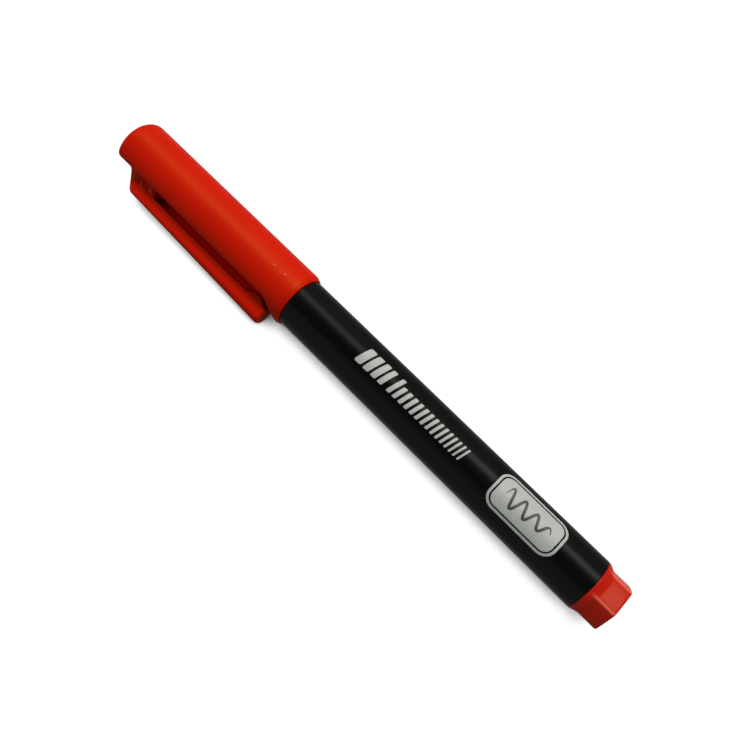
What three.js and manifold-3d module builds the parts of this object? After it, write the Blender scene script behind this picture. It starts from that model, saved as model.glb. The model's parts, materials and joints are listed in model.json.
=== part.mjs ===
// Fine-point marker with a push-on cap and pocket clip, lying on its side on a table.
//
// Every length is in millimetres. The pen's own axis runs along X. "Along" is the distance from the
// cap's closed end, and grows towards the end plug. In the cap's own frame the clip points to -Y;
// the cap is then turned about the axis until the clip's tip rests on the table.

import * as THREE from "three";
import { mergeVertices } from "three/addons/utils/BufferGeometryUtils.js";
import Module from "manifold-3d";

const wasm = await Module();
wasm.setup();

// Barrel: a plain tube
const barrelRadius = 5.6;
const barrelLength = 77.2;
const barrelWall = 1.0;
const barrelEdge = 0.15;

// Nib holder: a spigot in the barrel, a coned neck under the cap's rim, a long grip and a cone
const spigotFit = 0.1;
const holderSpigotLength = 5.0;
const neckStep = 0.45;
const neckLand = 0.3;
const neckCone = 2.4;
const gripLength = 15.1;
const gripTaper = 0.2;
const sealLength = 4.5;
const sealStep = 0.8;
const coneLength = 8.0;
const coneTipWall = 0.5;
const gripEdge = 0.3;

// Nib: a fibre rod with a fine point
const nibRadius = 0.95;
const nibFit = 0.08;
const nibShow = 3.2;
const nibPointRadius = 0.3;
const nibTaperLength = 2.2;
const nibSocketDepth = 3.5;

// Cap: a round shell with a flat under the clip, which ramps up to a full rim at the mouth
const capLength = 51.2;
const capWall = 0.97;
const capFit = 0.15;
const capEndWall = 1.2;
const capEndRound = 1.2;
const capMouthEdge = 0.2;
const flatDepth = 1.92;
const flatWall = 0.74;
const rimLand = 0.4;
const rimRamp = 4.5;
const gripFit = 0.16;

// Pocket clip: a bar beside the flat, with a pip near its free end
const clipWidth = 3.6;
const clipGap = 1.45;
const clipRootStart = 3.1;
const clipRampLength = 3.5;
const clipSlotStart = 11.9;
const clipSlotRound = 0.55;
const clipRootThickness = 2.6;
const clipTipThickness = 3.6;
const clipTipSetback = 3.5;
const clipEdgeRound = 1.0;
const clipCornerRound = 0.8;
const clipInnerRound = 0.4;
const clipStub = 1.0;
const clipJointGap = 0.3;
const pipSetback = 7.0;
const pipChord = 4.1;
const pipFit = 0.33;

// Inner cap: a thin cup that seals on the nib holder
const innerCapWall = 0.55;
const innerCapFit = 0.12;
const innerCapSeat = 0.3;
const socketFit = 0.1;
const socketWall = 0.6;
const socketDepth = 4.0;

// Ink reservoir and its film, a loose fit in the barrel's bore
const reservoirFit = 0.26;
const filmFit = 0.07;
const filmWall = 0.12;
const reservoirSeat = 0.3;
const reservoirEndRoom = 1.5;

// End plug: a spigot, a collar as wide as the barrel, and a six-sided head
const plugHeadLength = 6.0;
const plugSpigotLength = 8.0;
const plugSpigotWall = 1.1;
const plugFloor = 2.0;
const plugCollar = 0.45;
const plugFlare = 1.25;
const plugCornerInset = 0.35;
const plugCornerRound = 0.6;
const plugFlatBulge = 0.12;
const plugEdge = 0.35;
const plugSides = 6;
const plugTurn = THREE.MathUtils.degToRad(7.5);

// How finely round shapes are cut into flats
const facets = 48;
const arcSteps = 6;
const edgeSteps = 3;

// Corners closer together than this are one corner
const weldDistance = 1e-4;

// Sizes that follow from those above
const mouthAlong = capLength;
const barrelEnd = mouthAlong + barrelLength;
const totalLength = barrelEnd + plugHeadLength;
const barrelBore = barrelRadius - barrelWall;
const spigotRadius = barrelBore - spigotFit;
const neckRadius = barrelRadius - neckStep;
const capBore = neckRadius + capFit;
const capRadius = capBore + capWall;
const flatOffset = capRadius - flatDepth;
const innerFlatOffset = flatOffset - flatWall;
const gripRadius = innerFlatOffset - gripFit;
const sealRadius = gripRadius - sealStep;
const nibBore = nibRadius + nibFit;
const coneTipRadius = nibBore + coneTipWall;
const neckFront = mouthAlong - neckLand - neckCone;
const gripFront = neckFront - gripLength;
const sealFront = gripFront - sealLength;
const coneFront = sealFront - coneLength;
const nibTip = coneFront - nibShow;
const innerCapBore = sealRadius + innerCapFit;
const innerCapRadius = innerCapBore + innerCapWall;
const innerCapMouth = gripFront - innerCapSeat;
const holderBack = mouthAlong + holderSpigotLength;
const reservoirFront = holderBack + reservoirSeat;
const reservoirBack = barrelEnd - plugSpigotLength - reservoirEndRoom;
const filmOuter = barrelBore - reservoirFit;
const filmInner = filmOuter - filmWall;
const coreRadius = filmInner - filmFit;
const clipInner = flatOffset + clipGap;
const plugCornerRadius = barrelRadius - plugCornerInset;
const clipTip = mouthAlong - clipTipSetback;
const clipRampEnd = clipRootStart + clipRampLength;
const clipRootReach = clipInner + clipRootThickness;
const clipTipReach = clipInner + clipTipThickness;
const clipSlope = Math.atan2(clipTipReach - clipRootReach, clipTip - clipRampEnd);
const clipSplit = clipSlotStart + clipStub;
const pipHeight = clipGap - pipFit;

// The cap's own axis lies one cap radius above the table. The clip's rounded corner touches the table too,
// which sets how far the clip droops below the level.
const cornerOut = clipTipReach - clipEdgeRound;
const cornerSide = clipWidth / 2 - clipEdgeRound;
const cornerDistance = Math.hypot(cornerOut, cornerSide);
const cornerAngle = Math.atan2(cornerSide, cornerOut);
const clipDroop = Math.asin((capRadius - clipEdgeRound) / cornerDistance) - cornerAngle;
const clipSideReach = clipEdgeRound + cornerDistance * Math.cos(clipDroop - cornerAngle);
const axisHeight = capRadius;
const axisSide = (clipSideReach - capRadius) / 2;

// Materials
const redPlastic = new THREE.MeshStandardMaterial({ color: 0xc4230f, roughness: 0.42, metalness: 0 });
const redPlugPlastic = new THREE.MeshStandardMaterial({ color: 0xc43a28, roughness: 0.4, metalness: 0 });
const blackPlastic = new THREE.MeshStandardMaterial({ color: 0x1b1a18, roughness: 0.5, metalness: 0 });
const innerPlastic = new THREE.MeshStandardMaterial({ color: 0xe8e4da, roughness: 0.5, metalness: 0 });
const nibFibre = new THREE.MeshStandardMaterial({ color: 0x9c1a16, roughness: 0.8, metalness: 0 });
const coreFibre = new THREE.MeshStandardMaterial({ color: 0xa8211b, roughness: 0.9, metalness: 0 });
const clearFilm = new THREE.MeshStandardMaterial({ color: 0xd9d2c8, roughness: 0.3, metalness: 0 });

// A copy of the geometry with shared corners joined and empty triangles left out
function weld(geometry) {
  const bare = geometry.clone();
  bare.deleteAttribute("normal");
  bare.deleteAttribute("uv");
  const merged = mergeVertices(bare, weldDistance);
  const corners = merged.index.array;
  const kept = [];
  for (let i = 0; i < corners.length; i += 3) {
    const [a, b, c] = corners.slice(i, i + 3);
    if (a !== b && b !== c && c !== a) {
      kept.push(a, b, c);
    }
  }
  merged.setIndex(kept);
  return merged;
}

function toSolid(geometry) {
  const welded = weld(geometry);
  const vertProperties = new Float32Array(welded.attributes.position.array);
  const triVerts = new Uint32Array(welded.index.array);
  return new wasm.Manifold(new wasm.Mesh({ numProp: 3, vertProperties, triVerts }));
}

function toGeometry(solid) {
  const mesh = solid.getMesh();
  const geometry = new THREE.BufferGeometry();
  geometry.setAttribute("position", new THREE.BufferAttribute(new Float32Array(mesh.vertProperties), 3));
  geometry.setIndex(new THREE.BufferAttribute(new Uint32Array(mesh.triVerts), 1));
  return geometry;
}

// A solid of revolution about X, from [along, radius] points. The outer wall is listed first, with
// "along" growing, and the inner wall comes back.
function revolve(points) {
  const outline = points.map(([along, radius]) => new THREE.Vector2(radius, along));
  const geometry = new THREE.LatheGeometry(outline, facets);
  geometry.rotateZ(-Math.PI / 2);
  return geometry;
}

// A straight-sided solid: a shape drawn in the (along, y) plane, as wide as "width" across Z
function sideProfile(shape, width) {
  const options = { depth: width, bevelEnabled: false, curveSegments: arcSteps };
  const geometry = new THREE.ExtrudeGeometry(shape, options);
  geometry.translate(0, 0, -width / 2);
  return geometry;
}

// Points on a quarter of an ellipse between two places on a revolved profile, bulging outwards
function roundedEdge(alongStart, radiusStart, alongEnd, radiusEnd) {
  const points = [];
  for (let i = 0; i <= arcSteps; i += 1) {
    const turn = ((i / arcSteps) * Math.PI) / 2;
    const along = alongEnd - (alongEnd - alongStart) * Math.cos(turn);
    const radius = radiusStart + (radiusEnd - radiusStart) * Math.sin(turn);
    points.push([along, radius]);
  }
  return points;
}

function piece(name, geometry, material) {
  const mesh = new THREE.Mesh(geometry, material);
  mesh.name = name;
  return mesh;
}

// Barrel
function makeBarrel() {
  const tube = revolve([
    [mouthAlong, barrelRadius - barrelEdge],
    [mouthAlong + barrelEdge, barrelRadius],
    [barrelEnd - barrelEdge, barrelRadius],
    [barrelEnd, barrelRadius - barrelEdge],
    [barrelEnd, barrelBore],
    [mouthAlong, barrelBore],
    [mouthAlong, barrelRadius - barrelEdge],
  ]);
  return piece("barrel", weld(tube), blackPlastic);
}

// Nib holder, bored through for the nib
function makeNibHolder() {
  const body = revolve([
    [coneFront, nibBore],
    [coneFront, coneTipRadius],
    [sealFront, sealRadius - gripEdge],
    [sealFront, sealRadius],
    [gripFront, sealRadius],
    [gripFront, gripRadius - gripTaper - gripEdge],
    [gripFront + gripEdge, gripRadius - gripTaper],
    [neckFront, gripRadius],
    [mouthAlong - neckLand, neckRadius],
    [mouthAlong, neckRadius],
    [mouthAlong, spigotRadius],
    [holderBack, spigotRadius],
    [holderBack, nibBore],
    [coneFront, nibBore],
  ]);
  return piece("nib_holder", weld(body), blackPlastic);
}

// Nib: the point is a cone with a round end, and the back stands in the reservoir
function makeNib() {
  const pointCentre = nibTip + nibPointRadius;
  const back = reservoirFront + nibSocketDepth - reservoirSeat;
  const rod = revolve([
    [nibTip, 0],
    ...roundedEdge(nibTip, 0, pointCentre, nibPointRadius),
    [pointCentre + nibTaperLength, nibRadius],
    [back, nibRadius],
    [back, 0],
  ]);
  return piece("nib", weld(rod), nibFibre);
}

// Ink reservoir, with the socket that the nib stands in
function makeReservoir() {
  const socketEnd = reservoirFront + nibSocketDepth;
  const core = revolve([
    [socketEnd, 0],
    [socketEnd, nibBore],
    [reservoirFront, nibBore],
    [reservoirFront, coreRadius],
    [reservoirBack, coreRadius],
    [reservoirBack, 0],
  ]);
  return piece("ink_reservoir", weld(core), coreFibre);
}

function makeReservoirFilm() {
  const film = revolve([
    [reservoirFront, filmOuter],
    [reservoirBack, filmOuter],
    [reservoirBack, filmInner],
    [reservoirFront, filmInner],
    [reservoirFront, filmOuter],
  ]);
  return piece("reservoir_film", weld(film), clearFilm);
}

// Inner cap: a cup whose closed end stands in the cap's socket ring
function makeInnerCap() {
  const cup = revolve([
    [capEndWall, 0],
    [capEndWall, innerCapRadius],
    [innerCapMouth, innerCapRadius],
    [innerCapMouth, innerCapBore],
    [capEndWall + innerCapWall, innerCapBore],
    [capEndWall + innerCapWall, 0],
  ]);
  return piece("inner_cap", weld(cup), innerPlastic);
}

// The clip and its root block in one solid, before it is parted at the bending line
function wholeClip() {
  const sunk = flatOffset - flatWall / 2;
  const rootStart = new THREE.Vector2(clipRootStart, -flatOffset);
  const rootCorner = new THREE.Vector2(clipRampEnd, -clipRootReach);
  const tipCorner = new THREE.Vector2(clipTip, -clipTipReach);
  const rampWay = rootCorner.clone().sub(rootStart).normalize();
  const backWay = tipCorner.clone().sub(rootCorner).normalize();
  const rampLast = rootCorner.clone().addScaledVector(rampWay, -clipCornerRound);
  const backFirst = rootCorner.clone().addScaledVector(backWay, clipCornerRound);
  const backLast = tipCorner.clone().addScaledVector(backWay, -clipCornerRound);
  const outline = new THREE.Shape();
  outline.moveTo(clipRootStart, -sunk);
  outline.lineTo(rootStart.x, rootStart.y);
  outline.lineTo(rampLast.x, rampLast.y);
  outline.quadraticCurveTo(rootCorner.x, rootCorner.y, backFirst.x, backFirst.y);
  outline.lineTo(backLast.x, backLast.y);
  outline.quadraticCurveTo(tipCorner.x, tipCorner.y, clipTip, -clipTipReach + clipCornerRound);
  outline.lineTo(clipTip, -clipInner - clipInnerRound);
  outline.quadraticCurveTo(clipTip, -clipInner, clipTip - clipInnerRound, -clipInner);

  const pipCentre = mouthAlong - pipSetback;
  const pipRadius = (pipChord ** 2 / 4 + pipHeight ** 2) / (2 * pipHeight);
  const pipDepth = pipRadius - pipHeight;
  const pipTurn = Math.atan2(pipDepth, pipChord / 2);
  outline.lineTo(pipCentre + pipChord / 2, -clipInner);
  outline.absarc(pipCentre, -clipInner - pipDepth, pipRadius, pipTurn, Math.PI - pipTurn, false);

  outline.lineTo(clipSlotStart + clipSlotRound, -clipInner);
  outline.quadraticCurveTo(clipSlotStart, -clipInner, clipSlotStart, -clipInner + clipSlotRound);
  outline.lineTo(clipSlotStart, -sunk);
  outline.closePath();
  const bar = toSolid(sideProfile(outline, clipWidth));
  return bar.intersect(clipCrown());
}

// A long bar with two rounded outer edges, laid along the clip's outer face. What it shares with the
// clip's side profile is the clip.
function clipCrown() {
  const half = clipWidth / 2;
  const section = new THREE.Shape();
  section.moveTo(-half, clipRootReach);
  section.lineTo(-half, clipEdgeRound);
  section.absarc(-half + clipEdgeRound, clipEdgeRound, clipEdgeRound, Math.PI, Math.PI * 1.5, false);
  section.lineTo(half - clipEdgeRound, 0);
  section.absarc(half - clipEdgeRound, clipEdgeRound, clipEdgeRound, Math.PI * 1.5, Math.PI * 2, false);
  section.lineTo(half, clipRootReach);
  section.closePath();
  const spare = capRadius;
  const options = { depth: totalLength, bevelEnabled: false, curveSegments: arcSteps };
  const bar = new THREE.ExtrudeGeometry(section, options);
  bar.rotateY(Math.PI / 2);
  bar.translate(-spare, 0, 0);
  bar.rotateZ(-clipSlope);
  bar.translate(clipRampEnd, -clipRootReach, 0);
  return toSolid(bar);
}

// The part of a solid between two places along the pen
function between(solid, from, to) {
  const size = totalLength;
  const block = new THREE.BoxGeometry(to - from, size, size);
  block.translate((from + to) / 2, 0, 0);
  return solid.intersect(toSolid(block));
}

// All that lies past a flat on the clip side, past the ramp from that flat up to the rim, and past the
// round at the closed end
function beyondFlat(offset, rimOffset, endRound) {
  const beyond = capRadius * 2;
  const rampEnd = mouthAlong - rimLand;
  const outline = new THREE.Shape();
  outline.moveTo(-beyond, -beyond);
  outline.lineTo(rampEnd, -beyond);
  outline.lineTo(rampEnd, -rimOffset);
  outline.lineTo(rampEnd - rimRamp, -offset);
  outline.lineTo(endRound, -offset);
  if (endRound > 0) {
    outline.absarc(endRound, endRound - offset, endRound, Math.PI * 1.5, Math.PI, true);
  }
  outline.lineTo(-beyond, endRound - offset);
  outline.closePath();
  return toSolid(sideProfile(outline, beyond * 2));
}

// Cap: shell, flat, rim, socket ring for the inner cap, and the clip's root block
function makeCap() {
  const shell = toSolid(revolve([
    [0, 0],
    ...roundedEdge(0, capRadius - capEndRound, capEndRound, capRadius),
    [mouthAlong - capMouthEdge, capRadius],
    [mouthAlong, capRadius - capMouthEdge],
    [mouthAlong, 0],
  ]));
  const hollow = toSolid(revolve([
    [capEndWall, 0],
    [capEndWall, capBore],
    [mouthAlong + capEndWall, capBore],
    [mouthAlong + capEndWall, 0],
  ]));
  const room = hollow.subtract(beyondFlat(innerFlatOffset, capBore, 0));

  const socketInner = innerCapRadius + socketFit;
  const socketRing = toSolid(revolve([
    [capEndWall / 2, socketInner + socketWall],
    [capEndWall + socketDepth, socketInner + socketWall],
    [capEndWall + socketDepth, socketInner],
    [capEndWall / 2, socketInner],
    [capEndWall / 2, socketInner + socketWall],
  ]));

  const block = between(wholeClip(), 0, clipSplit);
  const body = shell
    .subtract(beyondFlat(flatOffset, capRadius, capEndRound))
    .subtract(room)
    .add(socketRing)
    .add(block);
  return piece("cap", toGeometry(body), redPlastic);
}

function makeCapClip() {
  const arm = between(wholeClip(), clipSplit + clipJointGap, totalLength);
  return piece("cap_clip", toGeometry(arm), redPlastic);
}

// The head's six-sided outline, with rounded corners and flats that swell a little
function plugHeadShape() {
  const corner = (index) => {
    const turn = plugTurn + (index * 2 * Math.PI) / plugSides;
    return new THREE.Vector2(plugCornerRadius * Math.cos(turn), plugCornerRadius * Math.sin(turn));
  };
  const outline = new THREE.Shape();
  for (let i = 0; i < plugSides; i += 1) {
    const start = corner(i);
    const end = corner(i + 1);
    const along = end.clone().sub(start).normalize();
    const flatStart = start.clone().addScaledVector(along, plugCornerRound);
    const flatEnd = end.clone().addScaledVector(along, -plugCornerRound);
    const middle = flatStart.clone().add(flatEnd).multiplyScalar(0.5);
    const swollen = middle.clone().addScaledVector(middle.clone().normalize(), plugFlatBulge * 2);
    const after = corner(i + 2).sub(end).normalize();
    const nextFlat = end.clone().addScaledVector(after, plugCornerRound);
    if (i === 0) {
      outline.moveTo(flatStart.x, flatStart.y);
    }
    outline.quadraticCurveTo(swollen.x, swollen.y, flatEnd.x, flatEnd.y);
    outline.quadraticCurveTo(end.x, end.y, nextFlat.x, nextFlat.y);
  }
  return outline;
}

// End plug: hollow spigot, collar flush with the barrel, a hollow-curved flare and the six-sided head
function makeEndPlug() {
  const spigotFront = barrelEnd - plugSpigotLength;
  const collarEnd = barrelEnd + plugCollar;
  const flareEnd = collarEnd + plugFlare;
  const waist = plugCornerRadius * Math.cos(Math.PI / plugSides);
  const flare = [];
  for (let i = 0; i <= arcSteps; i += 1) {
    const turn = ((i / arcSteps) * Math.PI) / 2;
    const along = flareEnd - plugFlare * Math.cos(turn);
    const radius = barrelRadius - (barrelRadius - waist) * Math.sin(turn);
    flare.push([along, radius]);
  }
  const stem = toSolid(revolve([
    [barrelEnd - plugFloor, 0],
    [barrelEnd - plugFloor, spigotRadius - plugSpigotWall],
    [spigotFront, spigotRadius - plugSpigotWall],
    [spigotFront, spigotRadius - barrelEdge],
    [spigotFront + barrelEdge, spigotRadius],
    [barrelEnd, spigotRadius],
    [barrelEnd, barrelRadius],
    ...flare,
    [flareEnd, 0],
  ]));
  const headDepth = plugHeadLength - plugEdge;
  const head = new THREE.ExtrudeGeometry(plugHeadShape(), {
    depth: headDepth - plugCollar,
    bevelEnabled: true,
    bevelThickness: plugEdge,
    bevelSize: plugEdge,
    bevelOffset: -plugEdge,
    bevelSegments: edgeSteps,
    curveSegments: arcSteps,
  });
  head.rotateY(Math.PI / 2);
  head.translate(collarEnd, 0, 0);
  return piece("end_plug", toGeometry(stem.add(toSolid(head))), redPlugPlastic);
}

// Assembly
const marker = new THREE.Group();
const pen = new THREE.Group();
pen.position.set(-totalLength / 2, axisSide, axisHeight);

pen.add(makeBarrel());
pen.add(makeNibHolder());
pen.add(makeNib());
pen.add(makeReservoir());
pen.add(makeReservoirFilm());
pen.add(makeInnerCap());

// The plug's head is drawn square to the clip's side view, so it turns with the same droop
const plugGroup = new THREE.Group();
plugGroup.rotation.x = clipDroop;
plugGroup.add(makeEndPlug());
pen.add(plugGroup);

// A turn about +X carries the clip from -Y down towards the table
const capGroup = new THREE.Group();
capGroup.rotation.x = clipDroop;
capGroup.add(makeCap());
capGroup.add(makeCapClip());
pen.add(capGroup);

marker.add(pen);

export default marker;
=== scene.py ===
# %% [markdown]
# # A fine-point marker lying on a pale table
#
# The construction of this marker is already settled elsewhere, as a frame of plain solids at their
# real size. This lesson dresses that frame. It models each visible moulding again with soft edges
# and a fine surface, gives every plastic and fibre its own finish, and sets up a camera and a light
# to look at it.

# %% Load the frame
import json
import math

import bmesh
import bpy
from mathutils import Matrix, Vector


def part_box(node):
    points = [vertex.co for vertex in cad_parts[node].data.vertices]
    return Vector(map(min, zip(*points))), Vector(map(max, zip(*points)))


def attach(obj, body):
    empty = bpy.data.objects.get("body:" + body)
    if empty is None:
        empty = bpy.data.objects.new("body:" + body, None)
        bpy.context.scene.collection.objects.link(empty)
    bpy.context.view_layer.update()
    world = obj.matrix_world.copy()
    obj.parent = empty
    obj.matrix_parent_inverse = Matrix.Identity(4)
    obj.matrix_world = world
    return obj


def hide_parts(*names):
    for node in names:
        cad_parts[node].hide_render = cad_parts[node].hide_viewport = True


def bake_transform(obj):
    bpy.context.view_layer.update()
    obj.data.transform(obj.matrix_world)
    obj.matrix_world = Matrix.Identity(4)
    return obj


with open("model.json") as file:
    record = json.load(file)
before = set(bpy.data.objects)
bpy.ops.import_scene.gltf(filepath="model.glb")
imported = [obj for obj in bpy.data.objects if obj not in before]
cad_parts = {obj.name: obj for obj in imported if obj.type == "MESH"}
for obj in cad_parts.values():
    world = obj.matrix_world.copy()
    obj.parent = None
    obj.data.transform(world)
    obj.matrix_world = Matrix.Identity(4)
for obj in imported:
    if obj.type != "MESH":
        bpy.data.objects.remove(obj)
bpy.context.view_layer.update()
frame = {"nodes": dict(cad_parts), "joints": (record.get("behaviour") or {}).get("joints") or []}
print("pieces in the frame:", sorted(frame["nodes"]))

# %% [markdown]
# ## Two ways to say where something is
#
# The frame is in metres, with the marker lying along X on the table. Mouldings are easier to draw
# in millimetres, measured from the cap's closed end, with the pen's axis as the middle. So each
# piece is drawn in that drawing space, and one matrix sets it in place at the end. The cap and the
# plug have a second matrix, because the clip droops until its tip rests on the table. The droop is
# read from the direction of the clip's bending axis.

# %% Measure the frame
mm = 0.001
barrel_low, barrel_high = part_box("barrel")
cap_low, cap_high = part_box("cap")
plug_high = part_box("end_plug")[1]
axis_y = (barrel_low.y + barrel_high.y) / 2
axis_z = (barrel_low.z + barrel_high.z) / 2

clip_joint = next(joint for joint in frame["joints"] if joint["name"] == "clip_flex")
droop = math.atan2(clip_joint["axis"][1], -clip_joint["axis"][2])
on_axis = Matrix.Translation((cap_low.x, axis_y, axis_z)) @ Matrix.Scale(mm, 4)
on_cap = on_axis @ Matrix.Rotation(droop, 4, "X")


def drawn_box(name, place):
    """Lowest and highest corner of a frame piece, in the drawing space that place belongs to."""
    back = place.inverted()
    corners = [back @ vertex.co for vertex in frame["nodes"][name].data.vertices]
    low = Vector([min(corner[i] for corner in corners) for i in range(3)])
    high = Vector([max(corner[i] for corner in corners) for i in range(3)])
    return low, high


cap_radius = axis_z / mm
barrel_radius = (barrel_high.z - barrel_low.z) / 2 / mm
mouth = (cap_high.x - cap_low.x) / mm
barrel_end = (barrel_high.x - cap_low.x) / mm
plug_end = (plug_high.x - cap_low.x) / mm
print(f"cap radius {cap_radius:.2f}, barrel radius {barrel_radius:.2f}")
print(f"droop {math.degrees(droop):.2f} degrees, mouth at {mouth:.2f}")
print(f"barrel ends at {barrel_end:.2f}, plug ends at {plug_end:.2f}")

# %% [markdown]
# ## Colours and nodes
#
# Paint and plastic are easiest to note down as the hex value that a screen shows. Blender's shaders
# work in linear light, so one function turns each hex value into linear numbers. Another small
# function adds a shader node, sets its settings and its inputs, and joins its links.


# %% Colour and node helpers
def colour(hex_value, alpha=1.0):
    """The linear colour of a screen colour such as "#c4230f"."""
    parts = [int(hex_value[i : i + 2], 16) / 255 for i in (1, 3, 5)]
    linear = [p / 12.92 if p <= 0.04045 else ((p + 0.055) / 1.055) ** 2.4 for p in parts]
    return (*linear, alpha)


def add_node(tree, kind, inputs=None, links=None, **settings):
    """A new node with its settings, its input values and its links from other nodes' outputs."""
    node = tree.nodes.new(kind)
    for key, value in settings.items():
        setattr(node, key, value)
    for key, value in (inputs or {}).items():
        node.inputs[key].default_value = value
    for key, output in (links or {}).items():
        tree.links.new(output, node.inputs[key])
    return node


def new_material(name):
    """An empty node material."""
    material = bpy.data.materials.new(name)
    material.use_nodes = True
    material.node_tree.nodes.clear()
    return material, material.node_tree


# %% [markdown]
# ## A gloss for handled plastic
#
# New plastic mirrors about one twenty-fifth of the light from in front, and nearly all of it at a
# glance. A pen that has been handled is covered in hairline scratches, which break up the glancing
# reflection, so its edges stay deep in colour on a white table. The Principled shader sets both
# parts with one specular level. Here that level is very low, and a tint above one brings back the
# frontal part, which shows the lamps.

# %% Soft gloss
plastic_ior = 1.49
glancing_level = 0.01


def soft_gloss(shine, tint="#ffffff"):
    """Principled inputs that mirror the lamps from in front, but little of the room at a glance."""
    frontal = [part * shine / glancing_level for part in colour(tint)[:3]]
    return {
        "IOR": plastic_ior,
        "Specular IOR Level": glancing_level,
        "Specular Tint": (*frontal, 1.0),
    }


# %% [markdown]
# ## Tone, relief and streaks
#
# Nothing real has one even colour, so a noise drifts between two close tones. A noise also varies a
# plastic's roughness and raises a faint relief, which spreads each highlight. Where a piece is
# drawn or pressed lengthwise, the noise is squeezed along X, so that its streaks are short across
# the pen and many times longer along it.

# %% Steps that the finishes share
gloss_drift = 0.04


def drawn_out(tree, length):
    """Places in which a pattern comes out this many times longer along the pen."""
    place = add_node(tree, "ShaderNodeTexCoord").outputs["Object"]
    squeeze = (1 / length, 1.0, 1.0)
    squeezed = add_node(
        tree, "ShaderNodeMapping", inputs={"Scale": squeeze}, links={"Vector": place}
    )
    return squeezed.outputs["Vector"]


def two_tone(tree, place, tone, deep_tone, drift_mm, fineness):
    """A noise, and the colour that drifts with it between two tones."""
    noise = add_node(
        tree,
        "ShaderNodeTexNoise",
        inputs={"Scale": 1 / (drift_mm * mm), "Detail": 2.0, "Roughness": fineness},
        links={"Vector": place},
    )
    drift = add_node(
        tree,
        "ShaderNodeMix",
        data_type="RGBA",
        inputs={"A": colour(tone), "B": colour(deep_tone)},
        links={"Factor": noise.outputs["Fac"]},
    )
    return noise.outputs["Fac"], drift.outputs["Result"]


def plastic_face(material, pigment, grain, roughness, relief, relief_mm, gloss):
    """Closes a plastic: its grain varies the roughness and raises a faint relief."""
    tree = material.node_tree
    rough = add_node(
        tree,
        "ShaderNodeMapRange",
        inputs={
            "From Min": 0.3,
            "From Max": 0.7,
            "To Min": roughness - gloss_drift,
            "To Max": roughness + gloss_drift,
        },
        links={"Value": grain},
    )
    bumps = add_node(
        tree,
        "ShaderNodeBump",
        inputs={"Strength": relief, "Distance": relief_mm * mm},
        links={"Height": grain},
    )
    surface = add_node(
        tree,
        "ShaderNodeBsdfPrincipled",
        inputs=gloss,
        links={
            "Base Color": pigment,
            "Roughness": rough.outputs["Result"],
            "Normal": bumps.outputs["Normal"],
        },
    )
    add_node(tree, "ShaderNodeOutputMaterial", links={"Surface": surface.outputs["BSDF"]})


# %% [markdown]
# ## Moulded polypropylene
#
# The cap, the clip and the plug are injection moulded in polypropylene, the usual plastic for a
# snap-on cap because it bends without breaking. It leaves the mould softly glossy. Pigment is never
# mixed in quite evenly, so the colour drifts over several millimetres, and the steel's fine grain
# stays on the face.


# %% Moulded plastic finish
pigment_drift_mm = 7.0
grain_relief = 0.35


def moulded_plastic(
    name,
    tone,
    deep_tone,
    roughness,
    grain_mm,
    grain_depth_mm,
    shine=0.1,
    tint="#ffffff",
    wear_and_painted_highlight_tone=None,
):
    """Softly glossy moulded plastic, with a painted highlight where the corner attribute is high.
    """
    material, tree = new_material(name)
    place = add_node(tree, "ShaderNodeTexCoord").outputs["Object"]
    pigment = two_tone(tree, place, tone, deep_tone, pigment_drift_mm, fineness=0.5)[1]
    if wear_and_painted_highlight_tone:
        painted_highlight_share = add_node(tree, "ShaderNodeAttribute", attribute_name="painted_corner_highlight")
        pigment = add_node(
            tree,
            "ShaderNodeMix",
            data_type="RGBA",
            inputs={"B": colour(wear_and_painted_highlight_tone)},
            links={"Factor": painted_highlight_share.outputs["Fac"], "A": pigment},
        ).outputs["Result"]
    grain = add_node(
        tree,
        "ShaderNodeTexNoise",
        inputs={"Scale": 1 / (grain_mm * mm), "Detail": 3.0, "Roughness": 0.6},
        links={"Vector": place},
    ).outputs["Fac"]
    gloss = soft_gloss(shine, tint)
    plastic_face(material, pigment, grain, roughness, grain_relief, grain_depth_mm, gloss)
    return material


cap_plastic = moulded_plastic(
    "red_moulded_polypropylene",
    "#c21304",
    "#ba0f02",
    roughness=0.41,
    grain_mm=0.35,
    grain_depth_mm=0.02,
    shine=0.155,
    tint="#fff07c",
)
# The plug's paler corner tone is a painted highlight along its corners.
plug_plastic = moulded_plastic(
    "pale_red_moulded_polypropylene",
    "#b91f0d",
    "#b01908",
    roughness=0.28,
    grain_mm=0.3,
    grain_depth_mm=0.015,
    shine=0.1,
    tint="#fff4d0",
    wear_and_painted_highlight_tone="#de6a54",
)
holder_plastic = moulded_plastic(
    "black_moulded_polypropylene",
    "#1b1a19",
    "#141413",
    roughness=0.42,
    grain_mm=0.25,
    grain_depth_mm=0.015,
)
print("moulded finishes:", [m.name for m in (cap_plastic, plug_plastic, holder_plastic)])

# %% [markdown]
# ## Extruded barrel
#
# The barrel is a tube drawn through a die and cut to length, so its satin face has faint streaks
# that all run along the pen. The same streaks drive its tone, its roughness and its relief.

# %% Extruded tube finish
streak_mm = 0.5
streak_length = 30
barrel_plastic, barrel_tree = new_material("black_extruded_polypropylene")
streaks, streaked_tone = two_tone(
    barrel_tree,
    drawn_out(barrel_tree, streak_length),
    "#060605",
    "#030303",
    streak_mm,
    fineness=0.55,
)
plastic_face(
    barrel_plastic,
    streaked_tone,
    streaks,
    roughness=0.3,
    relief=0.25,
    relief_mm=0.01,
    gloss=soft_gloss(0.075),
)
print(f"barrel streaks are {streak_mm} mm wide and {streak_mm * streak_length} mm long")

# %% [markdown]
# ## Ink, fibre and clear plastics
#
# The barrel is printed in silver-grey ink, which lies on the plastic as a thin matt skin with small
# flaws. The nib and the ink store are polyester fibres pressed into rods, so they show lengthwise
# threads and are stained red by the ink. The inner cup is natural polyethylene, milky and waxy.


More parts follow.
